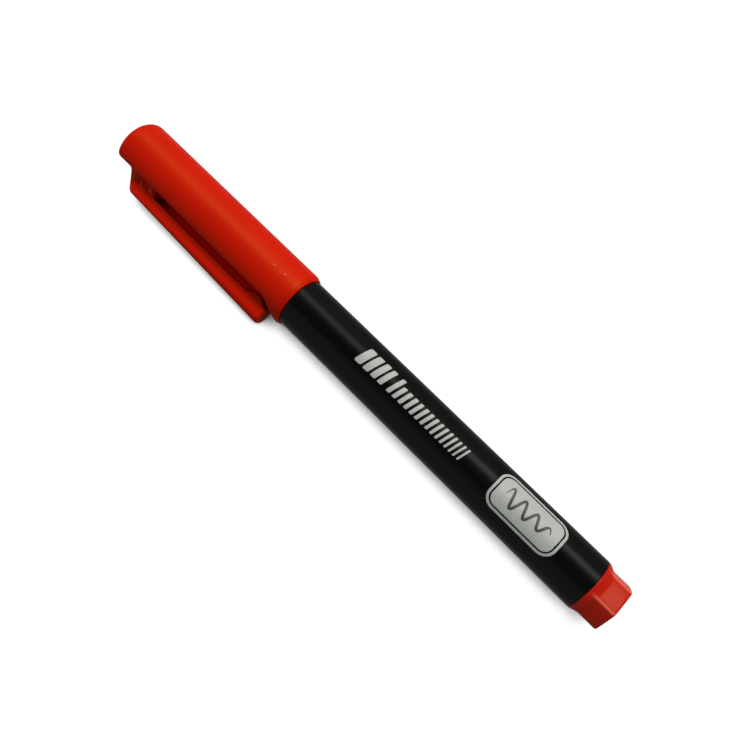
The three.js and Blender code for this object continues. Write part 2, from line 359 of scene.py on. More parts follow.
# %% Printed ink finish
def printed_ink(name, tone, wear_and_painted_highlight_tone, fleck_mm):
    """A thin matt skin of ink with small uneven flecks."""
    material, tree = new_material(name)
    place = add_node(tree, "ShaderNodeTexCoord").outputs["Object"]
    flecks = add_node(
        tree,
        "ShaderNodeTexNoise",
        inputs={"Scale": 1 / (fleck_mm * mm), "Detail": 3.0, "Roughness": 0.65},
        links={"Vector": place},
    )
    spread = add_node(
        tree,
        "ShaderNodeMapRange",
        inputs={"From Min": 0.42, "From Max": 0.68},
        links={"Value": flecks.outputs["Fac"]},
    )
    tint = add_node(
        tree,
        "ShaderNodeMix",
        data_type="RGBA",
        inputs={"A": colour(tone), "B": colour(wear_and_painted_highlight_tone)},
        links={"Factor": spread.outputs["Result"]},
    )
    surface = add_node(
        tree,
        "ShaderNodeBsdfPrincipled",
        inputs={"IOR": 1.5, "Roughness": 0.5},
        links={"Base Color": tint.outputs["Result"]},
    )
    add_node(tree, "ShaderNodeOutputMaterial", links={"Surface": surface.outputs["BSDF"]})
    return material


silver_ink = printed_ink("silver_grey_screen_ink", "#a7aca7", "#979c97", fleck_mm=0.35)
dark_ink = printed_ink("dark_screen_ink", "#262a28", "#343835", fleck_mm=0.35)
print("ink finishes:", [m.name for m in (silver_ink, dark_ink)])


# %% Pressed fibre finish
def pressed_fibre(name, tone, deep_tone, thread_mm, thread_length):
    """A rod of fibres stained by ink. The threads are coarser than real, so that they show."""
    material, tree = new_material(name)
    place = drawn_out(tree, thread_length)
    threads, tint = two_tone(tree, place, tone, deep_tone, thread_mm, fineness=0.6)
    relief = add_node(
        tree,
        "ShaderNodeBump",
        inputs={"Strength": 0.6, "Distance": 0.03 * mm},
        links={"Height": threads},
    )
    surface = add_node(
        tree,
        "ShaderNodeBsdfPrincipled",
        inputs={"IOR": 1.5, "Roughness": 0.75, "Sheen Weight": 0.15},
        links={"Base Color": tint, "Normal": relief.outputs["Normal"]},
    )
    add_node(tree, "ShaderNodeOutputMaterial", links={"Surface": surface.outputs["BSDF"]})
    return material


nib_fibre = pressed_fibre(
    "ink_stained_nib_fibre", "#a5201b", "#7d100d", thread_mm=0.12, thread_length=14
)
core_fibre = pressed_fibre(
    "ink_soaked_store_fibre", "#b52a24", "#8e1512", thread_mm=0.2, thread_length=20
)
cup_plastic = moulded_plastic(
    "milky_polyethylene", "#e6e2d8", "#ddd8cb", roughness=0.45, grain_mm=0.3, grain_depth_mm=0.01
)
film_plastic = moulded_plastic(
    "thin_polyester_film", "#dcd6cc", "#d2cbc0", roughness=0.25, grain_mm=0.6, grain_depth_mm=0.01
)
print("fibre finishes:", [m.name for m in (nib_fibre, core_fibre)])
print("inner finishes:", [m.name for m in (cup_plastic, film_plastic)])

# %% [markdown]
# ## Turning a profile
#
# Most of the pen is round, so its pieces are turned: a half profile is drawn as a line in the plane
# of the axis, its corners are rounded with a vertex bevel, and the spin operator sweeps it round
# the pen. Each corner carries its own rounding, which is how a mould maker would write it on a
# drawing. Cuts across the turned wall give later steps something to press.

# %% Turning helpers
round_steps = 6
weld_mm = 1e-4
sharp_angle = math.radians(38)
soft_round = 0.3
edge_round = 0.15
fine_round = 0.1
outer_segments = 192
barrel_segments = 160
hidden_segments = 128
small_segments = 64
x_way = Vector((1, 0, 0))
y_way = Vector((0, 1, 0))
z_way = Vector((0, 0, 1))


def round_corners(bm, corners, radius, steps=round_steps):
    """Rounds corners of a flat drawing."""
    bmesh.ops.bevel(
        bm,
        geom=corners,
        offset=radius,
        offset_type="OFFSET",
        segments=steps,
        profile=0.5,
        affect="VERTICES",
        material=-1,
        clamp_overlap=True,
    )


def cut_levels(bm, way, levels):
    """Cuts a drawing at each level along a direction, which adds corners there."""
    for level in levels:
        bmesh.ops.bisect_plane(
            bm,
            geom=bm.verts[:] + bm.edges[:] + bm.faces[:],
            dist=weld_mm,
            plane_co=way * level,
            plane_no=way,
        )


def turned(bm, profile, segments, closed=False):
    """Spins [along, radius, rounding] points about the pen's axis and adds the result to bm."""
    before = set(bm.verts)
    points = [bm.verts.new((along, 0, radius)) for along, radius, rounding in profile]
    pairs = list(zip(points, points[1:]))
    if closed:
        pairs.append((points[-1], points[0]))
    for pair in pairs:
        bm.edges.new(pair)
    for point, (along, radius, rounding) in zip(points, profile):
        if rounding:
            round_corners(bm, [point], rounding)
    line = [vertex for vertex in bm.verts if vertex not in before]
    edges = [edge for edge in bm.edges if edge.verts[0] not in before and edge.is_wire]
    bmesh.ops.spin(
        bm,
        geom=line + edges,
        cent=(0, 0, 0),
        axis=x_way,
        angle=math.tau,
        steps=segments,
        use_merge=True,
        use_duplicate=False,
    )
    bmesh.ops.remove_doubles(bm, verts=bm.verts[:], dist=weld_mm)
    bmesh.ops.recalc_face_normals(bm, faces=bm.faces[:])


def spaced(start, end, step):
    """Evenly spaced places from start to end, about a step apart."""
    count = max(1, round((end - start) / step))
    return [start + (end - start) * i / count for i in range(count + 1)]


def new_object(name, data):
    """An object for this mesh, lamp or camera, linked into the scene."""
    thing = bpy.data.objects.new(name, data)
    bpy.context.scene.collection.objects.link(thing)
    return thing


def finished(bm, name, place, material):
    """Sets a drawn piece in place, smooths its faces and makes it an object at the origin."""
    bmesh.ops.transform(bm, matrix=place, verts=bm.verts[:])
    for face in bm.faces:
        face.smooth = True
    for edge in bm.edges:
        edge.smooth = len(edge.link_faces) == 2 and edge.calc_face_angle(0) < sharp_angle
    mesh = bpy.data.meshes.new(name)
    bm.to_mesh(mesh)
    bm.free()
    mesh.materials.append(material)
    piece = new_object(name, mesh)
    weighted = piece.modifiers.new("weighted_normals", "WEIGHTED_NORMAL")
    weighted.keep_sharp = True
    mesh.calc_loop_triangles()
    print(name, "has", len(mesh.loop_triangles), "triangles")
    return piece


# %% [markdown]
# ## Soft joins
#
# A moulded edge is never quite sharp, and neither is the line where two shapes run into each other.
# Where one shape limits another, a soft minimum gives both: it follows the smaller of two numbers,
# and rounds the crossing over a chosen width. The same formula turned over gives a soft maximum. A
# rounded edge is written as how far it has fallen away since its round began.


# %% Soft minimum and maximum, and a rounded edge
def soft_min(a, b, width):
    blend = max(width - abs(a - b), 0) / width
    return min(a, b) - blend * blend * width / 4


def soft_max(a, b, width):
    return -soft_min(-a, -b, width)


def round_loss(radius, past):
    """How far an edge has fallen away, this far past the start of its round."""
    past = min(max(past, 0), radius)
    return radius - math.sqrt(radius**2 - past**2)


# %% [markdown]
# ## Cap shell
#
# The cap is one moulding: a round cup with a rounded closed end, a long flat on the clip's side,
# and a ramp where that flat climbs back to a full round rim. Cutting the flat with a plane would
# leave a hard edge and slivers. Instead the turned cup is pressed: every corner that reaches
# further out than the flat allows is moved in to it, through the soft minimum. The wall's inner
# face is pressed the same way, so the wall keeps its thickness. A short ring stands on the closed
# end's inner face and holds the inner cup.

# %% Cap shell
cap_wall = 0.97
cap_end_wall = 1.2
cap_end_round = 1.2
cap_chamfer_length = 0.95
cap_chamfer_depth = 0.42
cap_bore_round = 0.2
cap_bore = cap_radius - cap_wall
flat_offset = 4.35
flat_wall = 0.74
flat_edge_soft = 0.55
rim_land = 0.4
rim_ramp = 4.5
ramp_soft = 0.6
ramp_end = mouth - rim_land
ramp_start = ramp_end - rim_ramp
ramp_step = 0.3
plain_step = 6.0
plain_margin = 2.0


def soft_step_up(distance, width):
    """Zero before the start of a ramp and the distance past it, with a soft start."""
    if distance <= -width:
        return 0.0
    if distance >= width:
        return distance
    return (distance + width) ** 2 / (4 * width)


def flat_limit(along, offset, rim, end_round):
    """How far out the clip's side of the wall may reach at this place along the cap."""
    climb = soft_step_up(along - ramp_start, ramp_soft) / rim_ramp
    limit = offset + (rim - offset + flat_edge_soft) * climb
    return limit - round_loss(end_round, end_round - along)


cap_drawing = bmesh.new()
turned(
    cap_drawing,
    [
        (0, 0, 0),
        (0, cap_radius, cap_end_round),
        (mouth - cap_chamfer_length, cap_radius, soft_round),
        (mouth, cap_radius - cap_chamfer_depth, edge_round),
        (mouth, cap_bore, cap_bore_round),
        (cap_end_wall, cap_bore, soft_round),
        (cap_end_wall, 0, 0),
    ],
    outer_segments,
)
plain_stations = spaced(cap_end_wall + plain_margin, ramp_start - plain_margin, plain_step)
ramp_stations = spaced(ramp_start - ramp_soft, ramp_end, ramp_step)
cut_levels(cap_drawing, x_way, plain_stations + ramp_stations)
middle_of_wall = (cap_radius + cap_bore) / 2
for vertex in cap_drawing.verts:
    along, out = vertex.co.x, -vertex.co.y
    from_axis = math.hypot(vertex.co.y, vertex.co.z)
    if along < cap_end_wall - weld_mm or from_axis > middle_of_wall:
        limit = flat_limit(along, flat_offset, cap_radius, cap_end_round)
    else:
        limit = flat_limit(along, flat_offset - flat_wall, cap_bore, 0)
    vertex.co.y = -soft_min(out, limit, flat_edge_soft)

socket_inner = 3.42
socket_wall = 0.6
socket_depth = 4.0
socket_outer = socket_inner + socket_wall
socket_sunk = cap_end_wall / 2
socket_end = cap_end_wall + socket_depth
turned(
    cap_drawing,
    [
        (socket_sunk, socket_outer, 0),
        (socket_end, socket_outer, edge_round),
        (socket_end, socket_inner, edge_round),
        (socket_sunk, socket_inner, 0),
    ],
    small_segments,
    closed=True,
)

# %% [markdown]
# A few millimetres from its rim the real cap carries two tiny moulded specks, one clear and one
# faint, as a mended and polished mould leaves them. They are low rounded bumps that only show as
# glints, so they are glossier than the plastic round them, and their paler tone is a painted
# glint.

# %% Mould specks
cap_shell = finished(cap_drawing, "cap_shell", on_cap, cap_plastic)
# Glossier than the cap, and paler in tone: the paler tone is a painted glint.
glossy_plastic_with_painted_glint = moulded_plastic(
    "glossy_mark_with_painted_glint",
    "#dc3a26",
    "#d23020",
    roughness=0.17,
    grain_mm=0.3,
    grain_depth_mm=0.01,
    shine=0.6,
    tint="#ffb090",
)


def add_bead(bm, place, length, width, height, rings):
    """A low rounded bump. A matrix sets it in place."""
    flattened = place @ Matrix.Diagonal((length / 2, width / 2, height, 1))
    bmesh.ops.create_uvsphere(
        bm, u_segments=2 * rings, v_segments=rings, radius=1, matrix=flattened
    )


speck_turn = Matrix.Rotation(math.radians(-17), 4, "X")
speck_drawing = bmesh.new()
for setback, width, height in ((4.1, 0.85, 0.26), (7.3, 0.55, 0.055)):
    speck_place = speck_turn @ Matrix.Translation((mouth - setback, 0, cap_radius))
    add_bead(speck_drawing, speck_place, width, width, height, rings=10)
mould_specks = finished(speck_drawing, "mould_specks", on_cap, glossy_plastic_with_painted_glint)

# %% [markdown]
# ## Pocket clip
#
# The clip grows out of a wedge-shaped root on the cap's flat, runs as a slim bar beside the cap,
# and ends in a pip that grips the pocket. It is drawn as a loft: one rounded rectangle is extruded
# from station to station. At each station the four sides move to where the clip's side view says,
# while the rounded corners keep their radius, so each corner's place in the rectangle is stored as
# an attribute that the extrude operator copies along.

# %% Clip measures
clip_low, clip_high = drawn_box("cap_clip", on_cap)
clip_half_width = (clip_high.z - clip_low.z) / 2
clip_tip = clip_high.x
clip_tip_reach = -clip_low.y
clip_inner = flat_offset + 1.45
clip_root_start = 3.1
clip_root_end = 6.6
clip_root_reach = clip_inner + 2.6
clip_slot_start = 11.9
clip_slot_round = 0.55
clip_edge_round = 1.0
clip_edge_growth = (0.6, 1.55)
clip_inner_round = 0.25
clip_tip_round = 0.8
clip_back_soft = 0.7
clip_sunk = 0.6
clip_base_fillet = 0.6
clip_base_sunk = 0.02
pip_centre = mouth - 7.0
pip_half_chord = 2.5
pip_height = 1.12
pip_fullness = 1.35
print(f"clip is {2 * clip_half_width:.2f} wide and its tip is at {clip_tip:.2f}")
print(f"it reaches {clip_tip_reach:.2f} from the axis")


# %% [markdown]
# Three short formulas describe the side view: the outer face climbs the root's ramp, turns a soft
# corner and runs out to the tip; the inner face is sunk in the cap's wall at the root, turns up the
# closed end of the slot and then runs along the bar; and the pip swells out of it towards the cap.


# %% Clip side view
def clip_outer(along):
    back_slope = (clip_tip_reach - clip_root_reach) / (clip_tip - clip_root_end)
    back = clip_root_reach + back_slope * (along - clip_root_end)
    ramp_slope = (clip_root_reach - flat_offset) / (clip_root_end - clip_root_start)
    ramp = flat_offset + ramp_slope * (along - clip_root_start)
    lifted = soft_max(ramp, flat_offset - clip_base_sunk, clip_base_fillet)
    tip_loss = round_loss(clip_tip_round, along - (clip_tip - clip_tip_round))
    return soft_min(lifted, back, clip_back_soft) - tip_loss


def pip(along):
    """A round swelling that starts and ends level with the bar."""
    share = min(abs(along - pip_centre) / pip_half_chord, 1)
    return pip_height * (1 - share**2) ** pip_fullness


def clip_inside(along):
    if along < clip_slot_start:
        return flat_offset - clip_sunk
    slot_loss = round_loss(clip_slot_round, clip_slot_start + clip_slot_round - along)
    tip_loss = round_loss(clip_inner_round, along - (clip_tip - clip_inner_round))
    return clip_inner - pip(along) - slot_loss + tip_loss


# %% Clip section
section_depth = 2.0
section_inner = 0.98
section_levels = (0.45, 0.62, 0.72, 0.86, section_inner)
section_step = 0.8
clip_drawing = bmesh.new()
section = clip_drawing.verts.layers.float_vector.new("section")
corners = [
    clip_drawing.verts.new((0, out, z))
    for out, z in (
        (0, -clip_half_width),
        (0, clip_half_width),
        (section_depth, clip_half_width),
        (section_depth, -clip_half_width),
    )
]
for first, second in zip(corners, corners[1:] + corners[:1]):
    clip_drawing.edges.new((first, second))
corner_rounds = (clip_inner_round, clip_inner_round, clip_edge_round, clip_edge_round)
for corner, rounding in zip(corners, corner_rounds):
    round_corners(clip_drawing, [corner], rounding)
flat_half = clip_half_width - clip_edge_round
cut_levels(clip_drawing, y_way, section_levels)
cut_levels(clip_drawing, z_way, spaced(-flat_half, flat_half, section_step))
for vertex in clip_drawing.verts:
    vertex[section] = vertex.co
print("clip section has", len(clip_drawing.verts), "corners")


def shape_section(vertices, along, inside, outer, width_loss):
    """Moves one ring of the loft to its station."""
    depth = outer - inside
    start_growth, end_growth = clip_edge_growth
    share = min(max((along - clip_root_end) / (clip_tip - clip_root_end), 0), 1)
    growth = start_growth + (end_growth - start_growth) * share
    fit = min(1.0, depth / (clip_edge_round * growth + section_inner))
    for vertex in vertices:
        rest = vertex[section]
        shrink = fit
        if rest.y < section_depth / 2:
            out = inside + rest.y * shrink
        else:
            shrink = fit * growth
            out = outer - (section_depth - rest.y) * shrink
        from_middle = abs(rest.z)
        centre_share = from_middle / clip_half_width
        z = from_middle
        if from_middle > flat_half - weld_mm:
            from_side = (clip_half_width - from_middle) * shrink
            z = clip_half_width - width_loss * centre_share - from_side
        height = out - flat_offset
        if along <= clip_slot_start and height < clip_base_fillet:
            spread = round_loss(clip_base_fillet, clip_base_fillet - max(height, 0))
            z += spread * centre_share
        vertex.co = (along, -out, math.copysign(z, rest.z))


# %% Clip loft
quarter_steps = 8
fine_step = 0.2
root_step = 0.55
bar_step = 1.2
bend_margin = 1.0
slot_margin = 0.4
pip_margin = 0.3
slot_end = clip_slot_start + clip_slot_round
pip_start = pip_centre - pip_half_chord
pip_end = pip_centre + pip_half_chord
quarter = [i * math.pi / (2 * quarter_steps) for i in range(quarter_steps + 1)]
tip_stations = [clip_tip - clip_tip_round * (1 - math.sin(turn)) for turn in quarter]
slot_stations = [clip_slot_start + clip_slot_round * (1 - math.cos(turn)) for turn in quarter]
stations = (
    spaced(clip_root_start - bend_margin, clip_root_end + bend_margin, fine_step)
    + spaced(clip_root_end + bend_margin + slot_margin, clip_slot_start, root_step)
    + slot_stations
    + spaced(slot_end + slot_margin, pip_start - pip_margin, bar_step)
    + spaced(pip_start, pip_end, fine_step)
    + tip_stations
)
ring = clip_drawing.edges[:]
start = stations[0]
shape_section(clip_drawing.verts[:], start, clip_inside(start), clip_outer(start), 0)
first_ring = list(ring)
for last, along in zip(stations, stations[1:]):
    extruded = bmesh.ops.extrude_edge_only(clip_drawing, edges=ring)["geom"]
    ring = [item for item in extruded if isinstance(item, bmesh.types.BMEdge) and item.is_boundary]
    ring_corners = list({corner for edge in ring for corner in edge.verts})
    still_root = along == clip_slot_start and last < clip_slot_start
    inside = flat_offset - clip_sunk if still_root else clip_inside(along)
    width_loss = round_loss(clip_inner_round, along - (clip_tip - clip_inner_round))
    shape_section(ring_corners, along, inside, clip_outer(along), width_loss)
bmesh.ops.contextual_create(clip_drawing, geom=first_ring)
bmesh.ops.contextual_create(clip_drawing, geom=ring)
bmesh.ops.remove_doubles(clip_drawing, verts=clip_drawing.verts[:], dist=weld_mm)
bmesh.ops.recalc_face_normals(clip_drawing, faces=clip_drawing.faces[:])
open_edges = [edge for edge in clip_drawing.edges if not edge.is_manifold]
volume = clip_drawing.calc_volume()
print(f"clip loft has {len(open_edges)} open edges and a volume of {volume:.1f} mm3")

# %% [markdown]
# The root's side carries three short slanted ribs, as low as the stroke of a pencil. They follow
# the slope of the ramp, and in the photograph they are three small glints, the middle one clearest.

# %% Root ribs
clip_bar = finished(clip_drawing, "clip_bar", on_cap, cap_plastic)
rib_drawing = bmesh.new()
for rib_along, rib_out, length, width, height, lean in (
    (5.2, 5.1, 1.8, 0.4, 0.09, 54),
    (7.75, 5.45, 1.9, 0.46, 0.17, 50),
    (10.2, 4.95, 2.2, 0.6, 0.1, 42),
):
    rib_turn = Matrix.Rotation(math.radians(-lean), 4, "Z")
    for side in (1, -1):
        rib_spot = Matrix.Translation((rib_along, -rib_out, side * clip_half_width))
        add_bead(rib_drawing, rib_spot @ rib_turn, length, width, height, rings=12)
# The ribs take the same glossier plastic, whose paler tone is a painted glint.
root_ribs = finished(rib_drawing, "root_ribs", on_cap, glossy_plastic_with_painted_glint)

# %% [markdown]
# ## Barrel
#
# The barrel is a plain tube with its two cut edges just broken. It is turned as one closed ring,
# with an inner wall, so the open end is right when the cap comes off.

# %% Barrel tube
barrel_wall = 1.0
barrel_bore = barrel_radius - barrel_wall
barrel_front_round = 0.18
barrel_back_round = 0.12
barrel_margin = 4.0
barrel_step = 8.0
barrel_drawing = bmesh.new()
turned(
    barrel_drawing,
    [
        (mouth, barrel_radius, barrel_front_round),
        (barrel_end, barrel_radius, barrel_back_round),
        (barrel_end, barrel_bore, fine_round),
        (mouth, barrel_bore, fine_round),
    ],
    barrel_segments,
    closed=True,
)
barrel_stations = spaced(mouth + barrel_margin, barrel_end - barrel_margin, barrel_step)
cut_levels(barrel_drawing, x_way, barrel_stations)
barrel_tube = finished(barrel_drawing, "barrel_tube", on_axis, barrel_plastic)

# %% [markdown]
# ## Print on the barrel
#
# Printed ink is a skin a few hundredths of a millimetre thick. It is drawn flat, as if the barrel's
# face were unrolled: X runs along the pen and Y runs round it. The flat shape is cut into narrow
# strips, given its thickness, and wrapped round the barrel. The print is a generic one: a row of
# plain slanted bars that goes from broad to fine, and a rounded panel with a wavy ink line.

# %% Wrapping a flat print round the barrel
ink_proud = 0.025
ink_sunk = 0.02
strip_width = barrel_radius * math.radians(3)
camera_side = math.pi / 2 + droop


def wrap_print(bm, reach, along, turn, lift=0.0):
    """Bends a flat print round the barrel, with its middle at a place and a turn.

    The print is cut into strips first, out to the reach on each side of its middle.
    """
    cut_levels(bm, y_way, spaced(-reach, reach, strip_width))
    for face in bm.faces:
        if face.normal.z < 0:
            face.normal_flip()
    skin = bm.faces[:]
    raised = bmesh.ops.extrude_face_region(bm, geom=skin)["geom"]
    top = [item for item in raised if isinstance(item, bmesh.types.BMVert)]
    bmesh.ops.translate(bm, vec=z_way, verts=top)
    bmesh.ops.reverse_faces(bm, faces=skin)
    for vertex in bm.verts:
        radius = barrel_radius + (ink_proud + lift if vertex.co.z > 0.5 else lift - ink_sunk)
        angle = turn - vertex.co.y / barrel_radius
        vertex.co = (along + vertex.co.x, radius * math.cos(angle), radius * math.sin(angle))
    bmesh.ops.recalc_face_normals(bm, faces=bm.faces[:])


# %% Bars from broad to fine
bar_slant = math.tan(math.radians(13))
bar_turn = camera_side - math.radians(16)
bar_corner_share = 0.22
bar_corner_steps = 3
bar_drawing = bmesh.new()


def add_bar(bm, along, width, height, base):
    """One slanted bar with softened corners, standing on the print's base line."""
    corners = [
        bm.verts.new((along + width * across + bar_slant * height * up, base + height * up, 0))
        for across, up in ((0, 0), (1, 0), (1, 1), (0, 1))
    ]
    bm.faces.new(corners)
    round_corners(bm, corners, min(width, height) * bar_corner_share, bar_corner_steps)


print_base = -2.05
broad_height = 4.1
broad_widths = (1.7, 1.5, 1.3, 1.15)
broad_gap = 0.55
group_gap = 0.75
fine_height = 3.0
fine_count = 15
fine_widest = 0.95
fine_narrowing = 0.55
fine_gap = 0.62
place_along = 17.6
for width in broad_widths:
    add_bar(bar_drawing, place_along, width, broad_height, print_base)
    place_along += width + broad_gap
place_along += group_gap
for i in range(fine_count):
    width = fine_widest - fine_narrowing * i / (fine_count - 1)
    height = broad_height if i == 0 else fine_height
    add_bar(bar_drawing, place_along, width, height, print_base)
    place_along += width + fine_gap
print("bars end", round(place_along - fine_gap, 1), "mm past the mouth")
wrap_print(bar_drawing, broad_height, mouth, bar_turn)
bar_print = finished(bar_drawing, "bar_print", on_axis, silver_ink)

# %% Panel with its outline
panel_start = 52.7
panel_length = 16.0
panel_height = 8.15
panel_corner = 2.6
panel_corner_steps = 12
panel_band = 0.5
panel_line = 0.34
panel_middle = mouth + panel_start + panel_length / 2
panel_turn = camera_side - math.radians(15)
panel_drawing = bmesh.new()
panel_corners = [
    panel_drawing.verts.new((x * panel_length / 2, y * panel_height / 2, 0))
    for x, y in ((-1, -1), (1, -1), (1, 1), (-1, 1))
]
panel_drawing.faces.new(panel_corners)
round_corners(panel_drawing, panel_corners, panel_corner, panel_corner_steps)
band = bmesh.ops.inset_region(
    panel_drawing,
    faces=panel_drawing.faces[:],
    thickness=panel_band,
    use_boundary=True,
    use_even_offset=True,
)["faces"]
middle = [face for face in panel_drawing.faces if face not in band]
line = bmesh.ops.inset_region(
    panel_drawing, faces=middle, thickness=panel_line, use_even_offset=True
)["faces"]
print("panel line is cut from", len(line), "faces")
bmesh.ops.delete(panel_drawing, geom=line, context="FACES")
wrap_print(panel_drawing, panel_height / 2, panel_middle, panel_turn)
panel_print = finished(panel_drawing, "panel_print", on_axis, silver_ink)

# %% Wavy ink line on the panel
wave_length = 10.6
wave_turns = 3.5
wave_height = 1.9
wave_fading = 0.55
wave_steps = 112
stroke_width = 0.55
stroke_start_share = 0.25
stroke_growth = 6
wave_drawing = bmesh.new()
wave_points = []
for i in range(wave_steps + 1):
    share = i / wave_steps
    swing = wave_height * (1 - wave_fading * share)
    height = swing * math.sin(math.tau * wave_turns * share)
    wave_points.append(Vector((wave_length * (share - 0.5), height, 0)))
start_edge = []
for i, point in enumerate(wave_points):
    before = wave_points[max(i - 1, 0)]
    after = wave_points[min(i + 1, wave_steps)]
    across = z_way.cross((after - before).normalized())
    from_end = min(i, wave_steps - i) / wave_steps
    pen_width = stroke_width * min(1, stroke_start_share + stroke_growth * from_end)
    pair = [wave_drawing.verts.new(point + across * side * pen_width / 2) for side in (1, -1)]
    if start_edge:
        wave_drawing.faces.new((start_edge[0], start_edge[1], pair[1], pair[0]))
    start_edge = pair
wrap_print(wave_drawing, panel_height / 2, panel_middle, panel_turn, lift=ink_proud)
wave_print = finished(wave_drawing, "wave_print", on_axis, dark_ink)

# %% [markdown]
# ## End plug
#
# The plug closes the barrel. Behind the barrel's cut end it starts round and as wide as the barrel,
# and over two millimetres it runs into a six-sided head that can be gripped. The head is turned as
# a round bar first. Then each ring is pulled from round to six soft flats, by a share that eases in
# and out. Along the corners a paler tone is painted as a highlight, so they are marked in an
# attribute that the finish reads.

# %% End plug
plug_turn = math.radians(90 + 7.5)
plug_corner_inset = 0.14
plug_corner_radius = barrel_radius - plug_corner_inset
plug_corner_soft = 0.3
plug_corner_flat = 0.02
plug_swell = 0.1
plug_gap = 0.04
plug_collar = 0.12
plug_flare = 2.1
plug_edge = 0.42
plug_waist = plug_corner_radius * math.cos(math.pi / 6)
painted_highlight_width_mm = 0.24
press_gap = 0.1
spigot_length = 8.0
spigot_wall = 1.1
spigot_radius = barrel_bore - press_gap
spigot_bore = spigot_radius - spigot_wall
plug_floor = 2.0
collar_end = barrel_end + plug_collar
flare_end = collar_end + plug_flare
flare_step = 0.14
head_step = 0.6
head_margin = 0.8
plug_drawing = bmesh.new()
painted_corner_highlight = plug_drawing.verts.layers.float.new("painted_corner_highlight")
turned(
    plug_drawing,
    [
        (barrel_end - plug_floor, 0, 0),
        (barrel_end - plug_floor, spigot_bore, soft_round),
        (barrel_end - spigot_length, spigot_bore, edge_round),
        (barrel_end - spigot_length, spigot_radius, soft_round),
        (barrel_end + plug_gap, spigot_radius, 0),
        (barrel_end + plug_gap, barrel_radius, fine_round),
        (plug_end, barrel_radius, plug_edge),
        (plug_end, 0, 0),
    ],
    outer_segments,
)
flare_stations = spaced(collar_end, flare_end, flare_step)
head_stations = spaced(flare_end + head_step, plug_end - head_margin, head_step)
cut_levels(plug_drawing, x_way, flare_stations + head_stations)

# %% Six sides and painted corner highlights
head_side = math.pi / 3


def head_radius(from_middle):
    """The head's radius at a turn from a side's middle: a swollen flat with soft corners."""
    swell = plug_swell * (1 - (math.tan(from_middle) / math.tan(head_side / 2)) ** 2)
    flat = (plug_waist + swell) / math.cos(from_middle)
    return soft_min(flat, plug_corner_radius - plug_corner_flat, plug_corner_soft)


# The rings are pulled to six sides, and near the corners an attribute marks a painted highlight.
for vertex in plug_drawing.verts:
    radius = math.hypot(vertex.co.y, vertex.co.z)
    past_collar = vertex.co.x - collar_end
    if past_collar < -weld_mm or radius < weld_mm:
        continue
    share = min(past_collar / plug_flare, 1)
    eased = share * share * (3 - 2 * share)
    from_middle = (math.atan2(vertex.co.z, vertex.co.y) - plug_turn) % head_side - head_side / 2
    wanted = barrel_radius + (head_radius(from_middle) - barrel_radius) * eased
    if vertex.co.x < plug_end - plug_edge / 2:
        from_corner = (head_side / 2 - abs(from_middle)) * wanted
        vertex[painted_corner_highlight] = eased * math.exp(-((from_corner / painted_highlight_width_mm) ** 2))
    vertex.co.y *= wanted / barrel_radius
    vertex.co.z *= wanted / barrel_radius
plug_head = finished(plug_drawing, "plug_head", on_cap, plug_plastic)

# %% [markdown]
# ## Nib holder, nib and inner cup
#
# These are hidden until the cap comes off. The holder is pressed into the barrel. It has the coned
# neck that the cap's rim slides over, a long grip, the step that the inner cup seals on, and a cone
# that carries the nib. Their sizes are read from the frame where a box gives them.

# %% Nib holder
holder_low, holder_high = drawn_box("nib_holder", on_axis)
cup_low, cup_high = drawn_box("inner_cap", on_axis)
nib_low, nib_high = drawn_box("nib", on_axis)
neck_radius = holder_high.z
cup_radius = cup_high.z
nib_radius = nib_high.z
cup_wall = 0.55
seal_gap = 0.12
nib_gap = 0.08
tip_wall = 0.5
cone_step = 0.3
grip_step = 0.8
grip_taper = 0.2
grip_round = 0.5
neck_land = 0.3
neck_cone = 2.4
grip_length = 15.1
seal_length = 4.5
nib_bore_round = 0.05
seal_round = 0.12
holder_back_round = 0.2
nib_bore = nib_radius + nib_gap
seal_radius = cup_radius - cup_wall - seal_gap
grip_radius = seal_radius + grip_step
neck_front = mouth - neck_land - neck_cone
grip_front = neck_front - grip_length
seal_front = grip_front - seal_length
holder_drawing = bmesh.new()
turned(
    holder_drawing,
    [
        (holder_low.x, nib_bore, nib_bore_round),
        (holder_low.x, nib_bore + tip_wall, edge_round),
        (seal_front, seal_radius - cone_step, soft_round),
        (seal_front, seal_radius, seal_round),
        (grip_front, seal_radius, edge_round),
        (grip_front, grip_radius - grip_taper, soft_round),
        (neck_front, grip_radius, grip_round),
        (mouth - neck_land, neck_radius, edge_round),
        (mouth, neck_radius, fine_round),
        (mouth, barrel_bore - press_gap, 0),
        (holder_high.x, barrel_bore - press_gap, holder_back_round),
        (holder_high.x, nib_bore, nib_bore_round),
    ],
    hidden_segments,
    closed=True,
)
nib_holder = finished(holder_drawing, "holder_turned", on_axis, holder_plastic)

# %% Nib
nib_tip_radius = 0.3
nib_tip_round = 0.24
nib_taper = 2.5
nib_shoulder_round = 0.5
nib_drawing = bmesh.new()
turned(
    nib_drawing,
    [
        (nib_low.x, 0, 0),
        (nib_low.x, nib_tip_radius, nib_tip_round),
        (nib_low.x + nib_taper, nib_radius, nib_shoulder_round),
        (nib_high.x, nib_radius, fine_round),
        (nib_high.x, 0, 0),
    ],
    small_segments,
)
nib_point = finished(nib_drawing, "nib_point", on_axis, nib_fibre)

